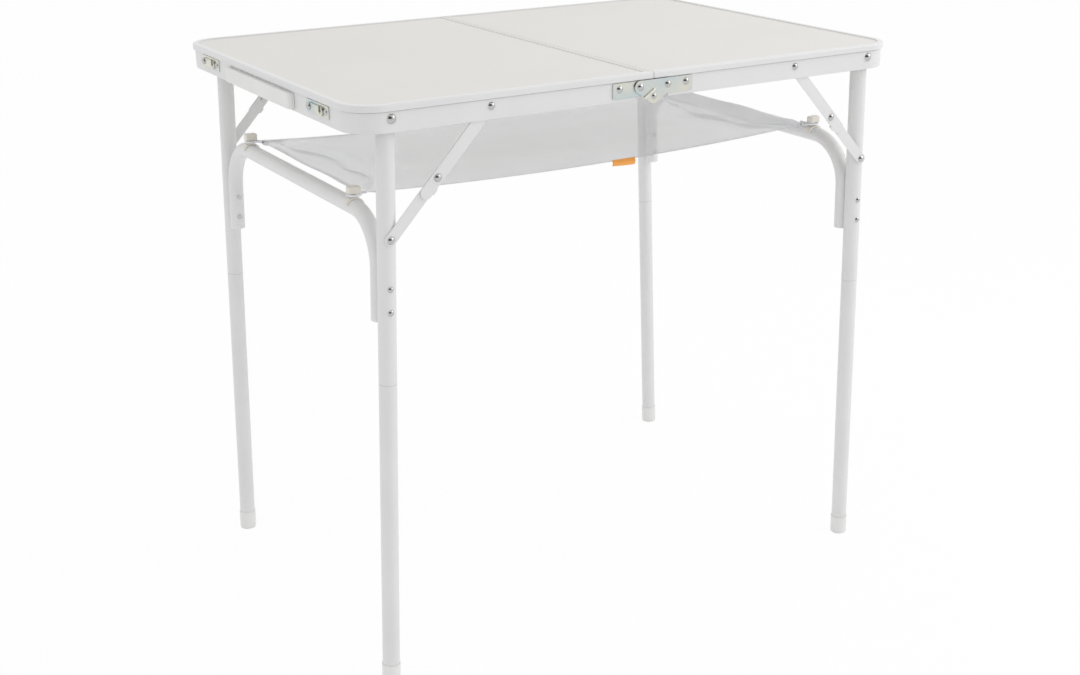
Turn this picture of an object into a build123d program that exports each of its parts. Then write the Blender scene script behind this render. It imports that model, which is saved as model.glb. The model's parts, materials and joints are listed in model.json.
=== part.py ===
from build123d import *
import os
from math import cos, hypot, radians, sin

# Overall size, millimetres
top_length = 800.0
top_width = 545.0
table_height = 745.0
corner_radius = 42.0

# Edge rail profile, one aluminium extrusion bent round three sides of each half
rail_height = 32.0
lip_height = 8.0
lip_overhang = 2.5
lip_round = 2.4
lip_edge_round = 0.8
trim_groove_depth = 0.9
trim_groove_height = 0.8
rail_wall = 2.0
rim_width = 7.8
rim_flange = 1.4
groove_wall = 2.2

# Top panel and the edging along the seam
panel_thickness = 3.0
panel_edge_clearance = 0.2
seam_gap = 0.5
edging_width = 7.0
edging_thickness = 0.9

# Leg frames
pivot_inset = 48.0
pivot_drop = 16.5
leg_lean = 2.4
leg_diameter = 22.0
leg_wall = 1.5
leg_to_rail = 4.3
upper_leg_length = 317.0
spigot_length = 40.0
spigot_clearance = 0.2
cross_diameter = 20.0
cross_wall = 1.2
cross_drop = 122.5
cross_leg_length = 120.0
cross_bend_radius = 60.0
cross_rivet_drop = 198.5
cross_rivet_pitch = 28.5
tube_gap = 0.1

# Feet and tube ends
foot_height = 24.0
foot_wall = 0.8
foot_sole = 7.0
foot_round = 6.0
fit_clearance = 0.1
cap_flange = 2.0
cap_depth = 9.0

# Folding braces
brace_rail_run = 126.5
brace_leg_drop = 139.4
link_gap = 0.3
upper_link_thickness = 1.8
upper_link_width = 15.0
upper_link_tongue = 22.0
lower_link_width = 14.0
link_tab_offset = 14.6
link_tab_length = 8.0
link_tab_thickness = 1.8

# Centre hinge
hinge_pivot_x = 20.5
hinge_plate_end = 59.0
hinge_plate_top = 9.3
hinge_plate_height = 18.8
hinge_plate_thickness = 1.5
hinge_plate_corner = 2.0
hinge_rivet_x = 49.5
hinge_link_radius = 7.8
hinge_link_thickness = 1.8
hinge_lug_drop = 13.0
hinge_lug_radius = 8.5
rail_relief_length = 23.5
rail_relief_height = 12.0
lock_wire_diameter = 2.4
lock_wire_reach = 15.0
lock_wire_rise = 9.5
lock_wire_eye_drop = 4.0

# Rivets and bolts
bolt_diameter = 6.0
rivet_diameter = 5.0
small_rivet_diameter = 4.0
running_clearance = 0.05
dome_ratio = 1.9
dome_height_ratio = 0.3
tail_height = 1.2
spacer_diameter = 11.0

# Carry handle, latches and catches on the short ends
handle_length = 210.0
handle_height = 18.6
handle_thickness = 8.0
handle_grip_depth = 4.5
handle_grip_length = 120.0
handle_round = 5.0
handle_post_spacing = 160.0
handle_post_width = 12.0
handle_post_height = 6.0
handle_stroke = 14.0
handle_stop_width = 18.0
handle_stop_thickness = 2.0
handle_gap = 0.3
latch_inset = 97.5
latch_plate_length = 62.0
latch_plate_height = 15.0
latch_plate_thickness = 1.4
latch_pin_offset = 20.0
latch_hook_width = 9.0
latch_hook_thickness = 1.8
latch_gap = 0.3
catch_plate_length = 30.0
catch_head_height = 1.8
catch_stud_diameter = 6.0

# Storage net hung between the cross tubes
net_thickness = 1.2
net_sag = 10.0
net_end_inset = 17.0
net_side_inset = 3.0
net_corner_x = 8.0
net_corner_y = 12.0
net_gap = 0.3
loop_thickness = 1.8
loop_band = 2.2
clip_width = 11.0
clip_wall = 2.2
clip_saddle_rise = 3.0
clip_neck_diameter = 7.5
clip_neck_height = 4.0
clip_head_length = 16.0
clip_head_height = 8.5
clip_head_round = 2.0
tag_width = 36.0
tag_drop = 10.0
tag_thickness = 0.8
tag_x = 34.0

os.makedirs("parts", exist_ok=True)

# Derived places
half_length = top_length / 2
half_width = top_width / 2
face_y = half_width - lip_overhang
inner_y = face_y - rail_wall
face_x = half_length - lip_overhang
inner_x = face_x - rail_wall
pivot_x = half_length - pivot_inset
pivot_z = table_height - pivot_drop
brace_rail_x = pivot_x - brace_rail_run
latch_y = half_width - latch_inset
leg_radius = leg_diameter / 2
leg_bore = leg_radius - leg_wall
leg_y = inner_y - leg_to_rail - leg_radius
cross_radius = cross_diameter / 2
cross_y = leg_y - leg_radius - cross_radius - tube_gap
leg_reach = pivot_z / cos(radians(leg_lean))
panel_z = table_height - rim_flange - panel_thickness


def save(node, *solids):
    """Write one piece, or one group of like pieces, as a node."""
    found = []
    for shape in solids:
        found.extend(shape.solids())
    export_step(found[0] if len(found) == 1 else Compound(children=found), f"parts/{node}.step")


def flip_x(shape):
    return mirror(shape, about=Plane.YZ)


def flip_y(shape):
    return mirror(shape, about=Plane.XZ)


def rod(start, direction, length, diameter):
    """Round bar from a point along a direction."""
    return extrude(Plane(start, z_dir=direction) * Circle(diameter / 2), length)


def dome(start, direction, diameter):
    """Rivet head: a spherical cap that stands on a point along a direction."""
    radius = diameter / 2
    height = diameter * dome_height_ratio
    ball = (radius * radius + height * height) / (2 * height)
    cap = Sphere(ball) & Pos(0, 0, ball) * Box(4 * ball, 4 * ball, 2 * height)
    return Plane(start, z_dir=direction) * Pos(0, 0, height - ball) * cap


def rivet(start, direction, grip, diameter, tail=True):
    """Domed rivet: head at the start, shank running back through the grip, flat tail."""
    back = Vector(*direction) * -1
    body = dome(start, direction, diameter * dome_ratio) + rod(start, back, grip, diameter)
    if tail:
        end = Vector(*start) + back * grip
        body = body + rod(end, back, tail_height, diameter * 1.5)
    return body


def hole(start, direction, length, diameter):
    """Running hole for a rivet or bolt, cut from a point along a direction."""
    return rod(start, direction, length, diameter + 2 * running_clearance)


# Edge rail: the profile stands on the outer edge, outward along x, up along y
with BuildSketch() as rail_section:
    with BuildLine():
        Polyline(
            (0, 0),
            (0, -lip_height),
            (-lip_overhang - trim_groove_depth, -lip_height),
            (-lip_overhang - trim_groove_depth, -lip_height - trim_groove_height),
            (-lip_overhang, -lip_height - trim_groove_height),
            (-lip_overhang, -rail_height),
            (-lip_overhang - rail_wall, -rail_height),
            (-lip_overhang - rail_wall, -2 * rim_flange - panel_thickness),
            (-rim_width, -2 * rim_flange - panel_thickness),
            (-rim_width, -rim_flange - panel_thickness),
            (-groove_wall, -rim_flange - panel_thickness),
            (-groove_wall, -rim_flange),
            (-rim_width, -rim_flange),
            (-rim_width, 0),
            close=True,
        )
    make_face()
    outer_top = rail_section.vertices().sort_by_distance((0, 0))[0]
    fillet(outer_top, radius=min(lip_round, groove_wall))
    outer_low = rail_section.vertices().sort_by_distance((0, -lip_height))[0]
    fillet(outer_low, radius=lip_edge_round)

with BuildLine() as rail_path:
    FilletPolyline(
        (-seam_gap, -half_width, table_height),
        (-half_length, -half_width, table_height),
        (-half_length, half_width, table_height),
        (-seam_gap, half_width, table_height),
        radius=corner_radius,
    )
rail_start = Plane((-seam_gap, -half_width, table_height), x_dir=(0, -1, 0), z_dir=(-1, 0, 0))
left_rail = sweep(rail_start * rail_section.sketch, path=rail_path.wire())
relief = Box(2 * rail_relief_length, 2 * top_width, 2 * rail_relief_height)
left_rail -= Pos(0, 0, table_height - rail_height) * relief

# Panel: slides into the rail's groove on three sides
panel_inset = groove_wall + panel_edge_clearance
panel_long = half_length - panel_inset - seam_gap - edging_thickness
panel_across = top_width - 2 * panel_inset
with BuildPart() as panel_build:
    with BuildSketch(Plane.XY.offset(panel_z)):
        with Locations((-seam_gap - edging_thickness - panel_long / 2, 0)):
            Rectangle(panel_long, panel_across)
        fillet(vertices().group_by(Axis.X)[0], radius=corner_radius - panel_inset)
    extrude(amount=panel_thickness)
left_panel = panel_build.part

# Edging: a channel pressed over the panel's seam edge, between the two rails
edging_span = 2 * (half_width - rim_width - panel_edge_clearance)
edging_outer = panel_thickness + 2 * edging_thickness
left_edging = Pos(-seam_gap - edging_width / 2, 0, panel_z + panel_thickness / 2) * Box(
    edging_width, edging_span, edging_outer
)
edging_slot = Box(edging_width, edging_span + 1, panel_thickness)
left_edging -= Pos(-seam_gap - edging_thickness - edging_width / 2, 0, panel_z + panel_thickness / 2) * edging_slot

# Leg pivots
pivot_point = (-pivot_x, -face_y, pivot_z)
brace_point = (-brace_rail_x, -face_y, pivot_z)
outward = (0, -1, 0)
bolt_grip = face_y - leg_y + leg_radius + link_gap
left_bolt = rivet(pivot_point, outward, bolt_grip, bolt_diameter)
spacer_length = leg_to_rail - 2 * link_gap
spacer = rod((-pivot_x, -inner_y + link_gap / 2, pivot_z), (0, 1, 0), spacer_length, spacer_diameter)
spacer -= hole((-pivot_x, -face_y, pivot_z), (0, 1, 0), 2 * leg_to_rail + rail_wall, bolt_diameter)
brace_grip = rail_wall + 2 * link_gap + upper_link_thickness
left_brace_rivet = rivet(brace_point, outward, brace_grip, rivet_diameter)

# Centre hinge plate: the lower inner corner is rounded so that the halves turn past each other
hinge_point = (-hinge_pivot_x, -face_y, pivot_z)
plate_low = table_height - hinge_plate_top - hinge_plate_height
plate_long = hinge_plate_end - seam_gap
with BuildPart() as plate_build:
    with BuildSketch(Plane((-seam_gap - plate_long, -face_y, plate_low), x_dir=(1, 0, 0), z_dir=(0, -1, 0))):
        Rectangle(plate_long, hinge_plate_height, align=(Align.MIN, Align.MIN))
        low_inner = vertices().sort_by_distance((plate_long, 0))[0]
        fillet(low_inner, radius=pivot_z - plate_low - hinge_plate_thickness / 3)
        fillet(vertices().group_by(Axis.X)[0], radius=hinge_plate_corner)
    extrude(amount=hinge_plate_thickness)
left_plate = plate_build.part
plate_face = -face_y - hinge_plate_thickness
plate_rivet_point = (-hinge_rivet_x, plate_face, pivot_z)
plate_grip = hinge_plate_thickness + rail_wall
left_plate_rivet = rivet(plate_rivet_point, outward, plate_grip, rivet_diameter)
left_plate -= hole(plate_rivet_point, (0, 1, 0), plate_grip, rivet_diameter)
left_plate -= hole((-hinge_pivot_x, plate_face, pivot_z), (0, 1, 0), plate_grip, rivet_diameter)

# Hinge link: two pivot eyes and a lug that hangs below the rail
link_back = plate_face - link_gap
link_face = link_back - hinge_link_thickness
link_plane = Plane((0, link_back, pivot_z), x_dir=(1, 0, 0), z_dir=(0, -1, 0))
link_eyes = [Pos(side * hinge_pivot_x, 0) * Circle(hinge_link_radius) for side in (-1, 1)]
lug_eye = Pos(0, -hinge_lug_drop) * Circle(hinge_lug_radius)
link_outline = make_hull(link_eyes[0].edges() + link_eyes[1].edges() + lug_eye.edges())
hinge_link = extrude(link_plane * link_outline, hinge_link_thickness)
for side in (-1, 1):
    hinge_link -= hole((side * hinge_pivot_x, link_face, pivot_z), (0, 1, 0), hinge_link_thickness, rivet_diameter)
lug_point = (0, link_face, pivot_z - hinge_lug_drop)
hinge_link -= hole(lug_point, (0, 1, 0), hinge_link_thickness, small_rivet_diameter)
wire_eye = (0, link_face, pivot_z - lock_wire_eye_drop)
hinge_link -= hole(wire_eye, (0, 1, 0), hinge_link_thickness, lock_wire_diameter)
pivot_grip = hinge_link_thickness + link_gap + plate_grip + link_gap
hinge_rivets = [
    rivet((side * hinge_pivot_x, link_face, pivot_z), outward, pivot_grip, rivet_diameter) for side in (-1, 1)
]
hinge_rivets.append(rivet(lug_point, outward, hinge_link_thickness, small_rivet_diameter))

# Lock wire: hooked through the link's eye, lying down and across its face
wire_y = link_face - lock_wire_diameter / 2 - link_gap / 3
with BuildLine() as wire_path:
    FilletPolyline(
        (0, link_back, pivot_z - lock_wire_eye_drop),
        (0, wire_y, pivot_z - lock_wire_eye_drop),
        (-lock_wire_reach, wire_y, pivot_z - lock_wire_eye_drop - lock_wire_rise),
        radius=lock_wire_diameter * 0.51,
    )
wire_start = Plane((0, link_back, pivot_z - lock_wire_eye_drop), z_dir=(0, -1, 0))
lock_wire = sweep(wire_start * Circle(lock_wire_diameter / 2), path=wire_path.wire())

# Holes in the rail for bolts, rivets and hinge pivots, front and back
rail_holes = hole(pivot_point, (0, 1, 0), 2 * rail_wall, bolt_diameter)
rail_holes += hole(brace_point, (0, 1, 0), 2 * rail_wall, rivet_diameter)
rail_holes += hole(hinge_point, (0, 1, 0), 2 * rail_wall, rivet_diameter)
rail_holes += hole((-hinge_rivet_x, -face_y, pivot_z), (0, 1, 0), 2 * rail_wall, rivet_diameter)
left_rail -= rail_holes
left_rail -= flip_y(rail_holes)
right_rail = flip_x(left_rail)

# Carry handle: a moulded bar on two posts that slide through the left end rail
handle_z = table_height - lip_height - (rail_height - lip_height) / 2
handle_back = -face_x - handle_gap
with BuildPart() as handle_build:
    with BuildSketch(Plane.XY.offset(handle_z - handle_height / 2)):
        with Locations((handle_back - handle_thickness / 2, 0)):
            Rectangle(handle_thickness, handle_length)
        fillet(vertices().group_by(Axis.X)[0], radius=handle_round)
    extrude(amount=handle_height)
    grip = Box(2 * handle_grip_depth, handle_grip_length, handle_height, mode=Mode.PRIVATE)
    add(Pos(handle_back, 0, handle_z - handle_thickness / 2) * grip, mode=Mode.SUBTRACT)
handle = handle_build.part
outer_edges = handle.edges().filter_by(Axis.Y).group_by(Axis.X)[0]
handle = fillet(outer_edges, radius=handle_round / 3)
post_length = handle_gap + rail_wall + handle_stroke + handle_stop_thickness
for side in (-1, 1):
    post_y = side * handle_post_spacing / 2
    post = Box(post_length, handle_post_width, handle_post_height, align=(Align.MIN, Align.CENTER, Align.CENTER))
    handle += Pos(handle_back, post_y, handle_z) * post
    stop = Box(
        handle_stop_thickness, handle_stop_width, handle_post_height, align=(Align.MAX, Align.CENTER, Align.CENTER)
    )
    handle += Pos(handle_back + post_length, post_y, handle_z) * stop
    slot = Box(
        4 * rail_wall, handle_post_width + 2 * handle_gap, handle_post_height + 2 * handle_gap
    )
    left_rail -= Pos(-face_x, post_y, handle_z) * slot

# Latches on the left end: plate, pin and swinging hook; studs on the right end
latch_reach = 2 * (rail_height - pivot_drop)
leftward = (-1, 0, 0)
latch_plates = []
latch_hooks = []
latch_pins = []
catches = []
for side in (-1, 1):
    centre_y = side * latch_y
    pin_y = centre_y + latch_pin_offset
    plate_x = -face_x - latch_plate_thickness
    plate = Box(
        latch_plate_thickness, latch_plate_length, latch_plate_height, align=(Align.MAX, Align.CENTER, Align.CENTER)
    )
    plate = Pos(-face_x, centre_y, pivot_z) * plate
    plate = fillet(plate.edges().filter_by(Axis.X), radius=hinge_plate_corner)
    pin_face = plate_x - latch_gap - latch_hook_thickness - latch_gap
    pin_grip = -face_x - pin_face + rail_wall
    pin = rivet((pin_face, pin_y, pivot_z), leftward, pin_grip, rivet_diameter)
    far_y = centre_y - latch_plate_length / 2 + latch_plate_height / 2
    far_grip = latch_plate_thickness + rail_wall
    far_rivet = rivet((plate_x, far_y, pivot_z), leftward, far_grip, small_rivet_diameter)
    plate -= hole((pin_face, pin_y, pivot_z), (1, 0, 0), pin_grip, rivet_diameter)
    plate -= hole((plate_x, far_y, pivot_z), (1, 0, 0), far_grip, small_rivet_diameter)
    left_rail -= hole((pin_face, pin_y, pivot_z), (1, 0, 0), pin_grip, rivet_diameter)
    left_rail -= hole((plate_x, far_y, pivot_z), (1, 0, 0), far_grip, small_rivet_diameter)
    hook_plane = Plane((plate_x - latch_gap, pin_y, pivot_z), x_dir=(0, -1, 0), z_dir=(-1, 0, 0))
    arm = Pos(latch_reach / 2, 0) * SlotCenterToCenter(latch_reach, latch_hook_width)
    claw = Pos(latch_reach, 0) * Circle(latch_hook_width * 0.72)
    throat = catch_stud_diameter + 2 * latch_gap
    mouth = Pos(latch_reach, 0) * Circle(throat / 2)
    mouth += Pos(latch_reach, latch_hook_width / 2) * Rectangle(throat, latch_hook_width)
    hook = extrude(hook_plane * (arm + claw - mouth), latch_hook_thickness)
    hook -= hole((pin_face, pin_y, pivot_z), (1, 0, 0), pin_grip, rivet_diameter)
    latch_plates.append(plate)
    latch_pins.extend([pin, far_rivet])
    latch_hooks.append(hook)
    stud_y = pin_y
    base = Box(
        latch_plate_thickness, catch_plate_length, latch_plate_height, align=(Align.MIN, Align.CENTER, Align.CENTER)
    )
    base = Pos(face_x, stud_y, pivot_z) * base
    base = fillet(base.edges().filter_by(Axis.X), radius=hinge_plate_corner)
    stud_length = -handle_back + handle_thickness - face_x - latch_plate_thickness - catch_head_height
    stud_foot = (face_x + latch_plate_thickness, stud_y, pivot_z)
    stud_neck = (face_x + latch_plate_thickness + stud_length, stud_y, pivot_z)
    stud = rod(stud_foot, (1, 0, 0), stud_length, catch_stud_diameter)
    stud += rod(stud_neck, (1, 0, 0), catch_head_height, catch_stud_diameter * 1.6)
    catches.append(base + stud)

# Leg frame, drawn upright about its pivot line and then leaned outward
def frame_place(side):
    return Pos(side * pivot_x, 0, pivot_z) * Rot(0, -side * leg_lean, 0)


leg_tube = extrude(Plane.XY.offset(-upper_leg_length) * Circle(leg_radius), upper_leg_length + leg_radius)
leg_tube &= Pos(0, 0, -upper_leg_length / 2) * Box(leg_diameter, leg_diameter, upper_leg_length) + rod(
    (0, -leg_radius, 0), (0, 1, 0), leg_diameter, leg_diameter
)
leg_tube -= extrude(Plane.XY.offset(-upper_leg_length) * Circle(leg_bore), upper_leg_length + leg_diameter)
leg_tube -= hole((0, -leg_diameter, 0), (0, 1, 0), 2 * leg_diameter, bolt_diameter)
leg_tube -= hole((0, -leg_diameter, -brace_leg_drop), (0, 1, 0), leg_diameter, rivet_diameter)
upper_leg = Pos(0, -leg_y, 0) * leg_tube
cross_low = cross_drop + cross_leg_length
with BuildLine() as cross_path:
    FilletPolyline(
        (0, -cross_y, -cross_low),
        (0, -cross_y, -cross_drop),
        (0, cross_y, -cross_drop),
        (0, cross_y, -cross_low),
        radius=cross_bend_radius,
    )
ring = Circle(cross_radius) - Circle(cross_radius - cross_wall)
cross_tube = sweep(Plane((0, -cross_y, -cross_low), z_dir=(0, 0, 1)) * ring, path=cross_path.wire())
end_cap = Pos(0, -cross_y, -cross_low) * Cylinder(
    cross_radius, cap_flange, align=(Align.CENTER, Align.CENTER, Align.MAX)
)
end_cap += Pos(0, -cross_y, -cross_low) * Cylinder(
    cross_radius - cross_wall - fit_clearance, cap_depth, align=(Align.CENTER, Align.CENTER, Align.MIN)
)
frame_rivets = []
frame_grip = leg_diameter + tube_gap + cross_diameter
for row in (0, 1):
    drop = cross_rivet_drop + row * cross_rivet_pitch
    start = (0, -leg_y - leg_radius, -drop)
    frame_rivets.append(rivet(start, outward, frame_grip, small_rivet_diameter))
    bore = hole(start, (0, 1, 0), frame_grip, small_rivet_diameter)
    upper_leg -= bore
    cross_tube -= bore
    cross_tube -= flip_y(bore)

# Brace links lie between the rail and the leg, upper link outermost
lower_link_thickness = leg_to_rail - upper_link_thickness - 3 * link_gap
upper_link_y = -inner_y + link_gap
lower_link_y = upper_link_y + upper_link_thickness + link_gap
lower_face = -leg_y - leg_radius - link_gap - lower_link_thickness
brace_rivet = rivet((0, lower_face - link_gap, -brace_leg_drop), outward,
                    lower_link_thickness + 2 * link_gap + leg_radius / 2, rivet_diameter, tail=False)

# Net clips: a plastic saddle on the tube, with a neck and a knob on top for the net's corner loop
clip_radius = cross_radius + clip_wall
clip_y = cross_y - cross_bend_radius - clip_width / 2 - net_gap
clip = rod((0, -clip_y - clip_width / 2, -cross_drop), (0, 1, 0), clip_width, 2 * clip_radius)
neck_top = -cross_drop + clip_radius + clip_neck_height
clip += rod((0, -clip_y, -cross_drop), (0, 0, 1), neck_top + cross_drop, clip_neck_diameter)
head = Pos(0, -clip_y, neck_top) * Box(
    clip_head_length, clip_width, clip_head_height, align=(Align.CENTER, Align.CENTER, Align.MIN)
)
head = fillet(head.edges().filter_by(Axis.Z), radius=clip_head_round)
head = fillet(head.edges().group_by(Axis.Z)[-1], radius=clip_head_round)
clip += head
clip -= rod((0, -clip_y - clip_width, -cross_drop), (0, 1, 0), 2 * clip_width, cross_diameter + 2 * fit_clearance)
clip -= Pos(0, -clip_y, -cross_drop + clip_saddle_rise) * Box(
    4 * clip_radius, 2 * clip_width, 2 * clip_radius, align=(Align.CENTER, Align.CENTER, Align.MAX)
)

# Lower leg: plain tube with a reduced spigot that pushes up into the upper leg
lower_top = -upper_leg_length
tube_end = -leg_reach + foot_sole
spigot_radius = leg_bore - spigot_clearance
with BuildPart() as lower_build:
    with BuildSketch(Plane.XZ):
        with BuildLine():
            Polyline(
                (leg_bore, tube_end),
                (leg_radius, tube_end),
                (leg_radius, lower_top),
                (spigot_radius, lower_top),
                (spigot_radius, lower_top + spigot_length),
                (spigot_radius - leg_wall, lower_top + spigot_length),
                (spigot_radius - leg_wall, lower_top - leg_wall),
                (leg_bore, lower_top - leg_wall),
                close=True,
            )
        make_face()
    revolve(axis=Axis.Z)
lower_leg = Pos(0, -leg_y, 0) * lower_build.part
foot_radius = leg_radius + fit_clearance + foot_wall
foot = Cylinder(foot_radius, foot_height + foot_sole, align=(Align.CENTER, Align.CENTER, Align.MIN))
foot = fillet(foot.edges().group_by(Axis.Z)[0], radius=foot_round)
foot = Pos(0, -leg_y, -leg_reach - foot_sole / 2) * foot
foot -= Pos(0, -leg_y, tube_end) * Cylinder(
    leg_radius + fit_clearance, 2 * foot_height, align=(Align.CENTER, Align.CENTER, Align.MIN)
)
below_floor = Pos(0, 0, -table_height) * Box(2 * top_length, 2 * top_width, 2 * table_height)

# Braces, drawn for the left front corner from the rail rivet down to the leg rivet
leg_rivet_x = -pivot_x - brace_leg_drop * sin(radians(leg_lean))
leg_rivet_z = pivot_z - brace_leg_drop * cos(radians(leg_lean))
brace_run = (leg_rivet_x + brace_rail_x, 0, leg_rivet_z - pivot_z)
brace_span = hypot(brace_run[0], brace_run[2])
fold_offset = brace_leg_drop - brace_rail_run
upper_reach = (brace_span + fold_offset) / 2
lower_reach = (brace_span - fold_offset) / 2


def brace_plane(y):
    return Plane((-brace_rail_x, y, pivot_z), x_dir=brace_run, z_dir=(0, -1, 0))


upper_plane = brace_plane(upper_link_y + upper_link_thickness)
bar_length = upper_reach + upper_link_tongue
upper_shape = Pos(bar_length / 2, 0) * SlotCenterToCenter(bar_length, upper_link_width)
upper_shape -= Circle(rivet_diameter / 2 + running_clearance)
upper_link = extrude(upper_plane * upper_shape, upper_link_thickness)
tab_shape = Pos(upper_reach + link_tab_offset, lower_link_width / 2 + link_gap) * Rectangle(
    link_tab_length, link_tab_thickness, align=(Align.CENTER, Align.MIN)
)
tab_depth = lower_link_thickness + link_gap
upper_link += extrude(brace_plane(upper_link_y + upper_link_thickness + tab_depth) * tab_shape, tab_depth
                      + upper_link_thickness)
mid_x = -brace_rail_x + brace_run[0] * upper_reach / brace_span
mid_z = pivot_z + brace_run[2] * upper_reach / brace_span
upper_link += dome((mid_x, upper_link_y, mid_z), outward, rivet_diameter * dome_ratio)
lower_plane = brace_plane(lower_link_y + lower_link_thickness)
lower_shape = Pos(upper_reach + lower_reach / 2, 0) * SlotCenterToCenter(lower_reach, lower_link_width)
lower_shape -= Pos(brace_span, 0) * Circle(rivet_diameter / 2 + running_clearance)
lower_link = extrude(lower_plane * lower_shape, lower_link_thickness)
lower_link += rod((mid_x, lower_link_y + lower_link_thickness, mid_z), (0, 1, 0), tail_height, rivet_diameter * 1.5)

# Storage net: a sagging sheet with cut corners, and a loop from each corner round the neck of its clip
clip_x = pivot_x + cross_drop * sin(radians(leg_lean))
clip_z = pivot_z - cross_drop * cos(radians(leg_lean))
net_half = clip_x - net_end_inset
net_width = 2 * (clip_y - net_side_inset)
loop_low = clip_z + clip_radius + net_gap
net_top = loop_low + loop_thickness
sag_low = net_top - net_sag
with BuildSketch(Plane.XZ) as net_section:
    with BuildLine():
        ThreePointArc((-net_half, net_top), (0, sag_low), (net_half, net_top))
        Line((net_half, net_top), (net_half, net_top - net_thickness))
        ThreePointArc(
            (net_half, net_top - net_thickness), (0, sag_low - net_thickness), (-net_half, net_top - net_thickness)
        )
        Line((-net_half, net_top - net_thickness), (-net_half, net_top))
    make_face()
net = extrude(net_section.sketch, net_width / 2, both=True)
end_y = net_width / 2 - net_corner_y
side_x = net_half - net_corner_x
net_outline = make_face(
    Polyline(
        (net_half, -end_y),
        (net_half, end_y),
        (side_x, net_width / 2),
        (-side_x, net_width / 2),
        (-net_half, end_y),
        (-net_half, -end_y),
        (-side_x, -net_width / 2),
        (side_x, -net_width / 2),
        close=True,
    )
)
net &= Pos(0, 0, sag_low - 2 * net_thickness) * extrude(net_outline, net_sag + 4 * net_thickness)
loop_x = clip_x - (loop_low + loop_thickness / 2 - clip_z) * sin(radians(leg_lean))
loop_bore = clip_neck_diameter / 2 + net_gap


def corner_loop(neck_radius, end_radius):
    """Outline round the clip's neck and the two ends of the net's cut corner."""
    neck = Pos(-loop_x, -clip_y) * Circle(neck_radius)
    end_eye = Pos(-net_half, -end_y) * Circle(end_radius)
    side_eye = Pos(-side_x, -net_width / 2) * Circle(end_radius)
    return make_hull(neck.edges() + end_eye.edges() + side_eye.edges())


loop_face = corner_loop(loop_bore + loop_band, loop_band) - corner_loop(loop_bore, loop_band / 4)
front_loop = Pos(0, 0, loop_low) * extrude(loop_face, loop_thickness)
for corner in (front_loop, flip_y(front_loop)):
    net += corner
    net += flip_x(corner)
tag = Pos(tag_x, -net_width / 2 - net_gap, sag_low) * Box(
    tag_width, tag_thickness, tag_drop, align=(Align.CENTER, Align.MAX, Align.MAX)
)

# Nodes: left and right halves
save("left_top_panel", left_panel)
save("right_top_panel", flip_x(left_panel))
save("left_edge_rail", left_rail)
save("right_edge_rail", right_rail)
save("left_seam_edging", left_edging)
save("right_seam_edging", flip_x(left_edging))
for side_name, turn in (("left", lambda shape: shape), ("right", flip_x)):
    save(f"{side_name}_hinge_plates", turn(left_plate), turn(flip_y(left_plate)))
    save(f"{side_name}_hinge_plate_rivets", turn(left_plate_rivet), turn(flip_y(left_plate_rivet)))
    save(f"{side_name}_leg_pivot_bolts", turn(left_bolt), turn(flip_y(left_bolt)))
    save(f"{side_name}_pivot_spacers", turn(spacer), turn(flip_y(spacer)))
    save(f"{side_name}_brace_rail_rivets", turn(left_brace_rivet), turn(flip_y(left_brace_rivet)))
    for place_name, cross in (("front", lambda shape: shape), ("back", flip_y)):
        corner = f"{side_name}_{place_name}"
        save(f"{corner}_upper_link", turn(cross(upper_link)))
        save(f"{corner}_lower_link", turn(cross(lower_link)))

# Nodes: centre hinge
save("centre_hinge_links", hinge_link, flip_y(hinge_link))
save("centre_hinge_rivets", *hinge_rivets, *[flip_y(shape) for shape in hinge_rivets])
save("centre_lock_wires", lock_wire, flip_y(lock_wire))

# Nodes: handle, latches, catches
save("carry_handle", handle)
save("latch_plates", *latch_plates)
save("latch_pins", *latch_pins)
save("front_latch_hook", latch_hooks[0])
save("back_latch_hook", latch_hooks[1])
save("latch_catch_studs", *catches)

# Nodes: leg frames
for side_name, side in (("left", -1), ("right", 1)):
    place = frame_place(side)
    save(f"{side_name}_cross_tube", place * cross_tube)
    save(f"{side_name}_cross_tube_caps", place * end_cap, place * flip_y(end_cap))
    save(
        f"{side_name}_frame_rivets",
        *[place * shape for shape in frame_rivets],
        *[place * flip_y(shape) for shape in frame_rivets],
    )
    save(f"{side_name}_brace_leg_rivets", place * brace_rivet, place * flip_y(brace_rivet))
    save(f"{side_name}_net_clips", place * clip, place * flip_y(clip))
    for place_name, cross in (("front", lambda shape: shape), ("back", flip_y)):
        corner = f"{side_name}_{place_name}"
        save(f"{corner}_upper_leg", place * cross(upper_leg))
        save(f"{corner}_lower_leg", place * cross(lower_leg))
        save(f"{corner}_foot", place * cross(foot) - below_floor)

# Nodes: net
save("storage_net", net)
save("net_tag", tag)
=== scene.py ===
import json
from math import atan2, cos, exp, hypot, pi, radians, sin

import bmesh
import bpy
from bpy.props import FloatProperty, FloatVectorProperty, PointerProperty
from mathutils import Matrix, Quaternion, Vector


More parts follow.
